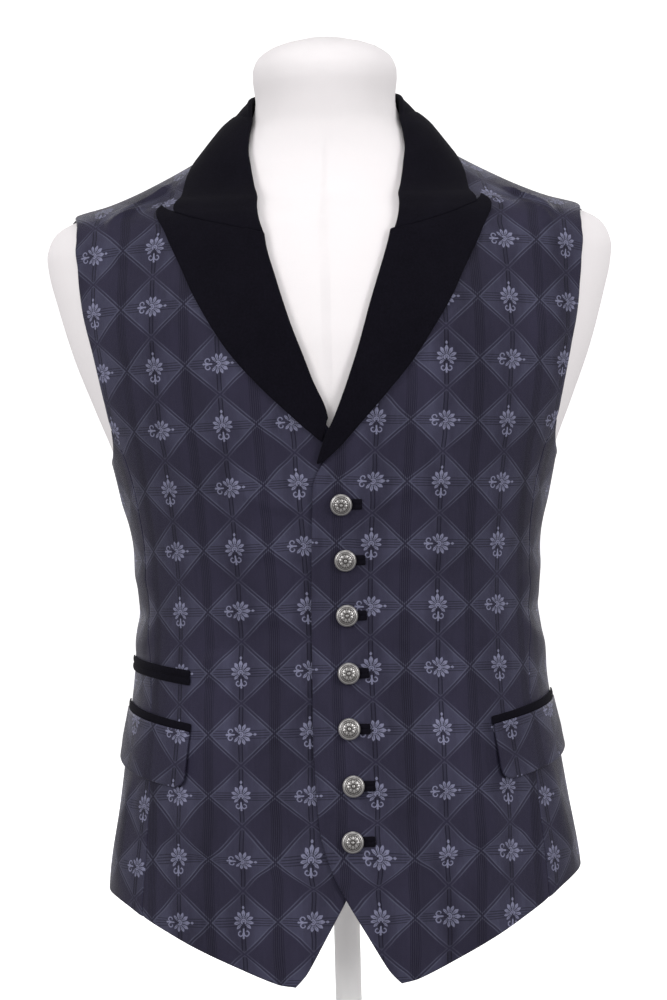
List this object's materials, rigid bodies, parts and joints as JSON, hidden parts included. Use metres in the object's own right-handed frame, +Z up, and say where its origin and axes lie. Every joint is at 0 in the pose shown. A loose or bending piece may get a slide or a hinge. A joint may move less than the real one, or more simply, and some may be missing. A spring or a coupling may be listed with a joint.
{
  "type": "waistcoat on a limbless dress form",
  "caption": "Single-breasted waistcoat with peaked lapels and pointed fronts, buttoned on a limbless dress form with a pole and a round base.",
  "frame": {"origin": "centre of the whole object's box, on the underside of the stand's base", "axes": "+Z up, -Y the way the front faces, +X the wearer's left"},
  "size_m": [0.435, 0.28, 0.7857],
  "materials": {
    "front_jacquard": "charcoal and grey-violet satin jacquard with a woven diamond lattice, soft sheen",
    "back_satin": "plain near-black satin",
    "black_wool": "matte black wool facing cloth",
    "cream_jersey": "cream cotton jersey, matte",
    "antique_silver": "antique silver, dark in its recesses",
    "painted_steel": "off-white satin paint"
  },
  "bodies": {
    "root": {"form_torso": "cream_jersey", "stand_base": "painted_steel", "stand_pole": "painted_steel", "front_left": "front_jacquard", "front_right": "front_jacquard", "side_left": "front_jacquard", "side_right": "front_jacquard", "back_left": "back_satin", "back_right": "back_satin", "collar": "black_wool", "lapel_left": "black_wool", "lapel_right": "black_wool", "pocket_flap_left": "front_jacquard", "pocket_flap_right": "front_jacquard", "pocket_jet_left": "black_wool", "pocket_jet_right": "black_wool", "ticket_jet_low": "black_wool", "ticket_jet_high": "black_wool", "buttonhole_1": "black_wool", "button_1": "antique_silver", "buttonhole_2": "black_wool", "button_2": "antique_silver", "buttonhole_3": "black_wool", "button_3": "antique_silver", "buttonhole_4": "black_wool", "button_4": "antique_silver", "buttonhole_5": "black_wool", "button_5": "antique_silver", "buttonhole_6": "black_wool", "button_6": "antique_silver", "buttonhole_7": "black_wool", "button_7": "antique_silver"}
  },
  "joints": []
}
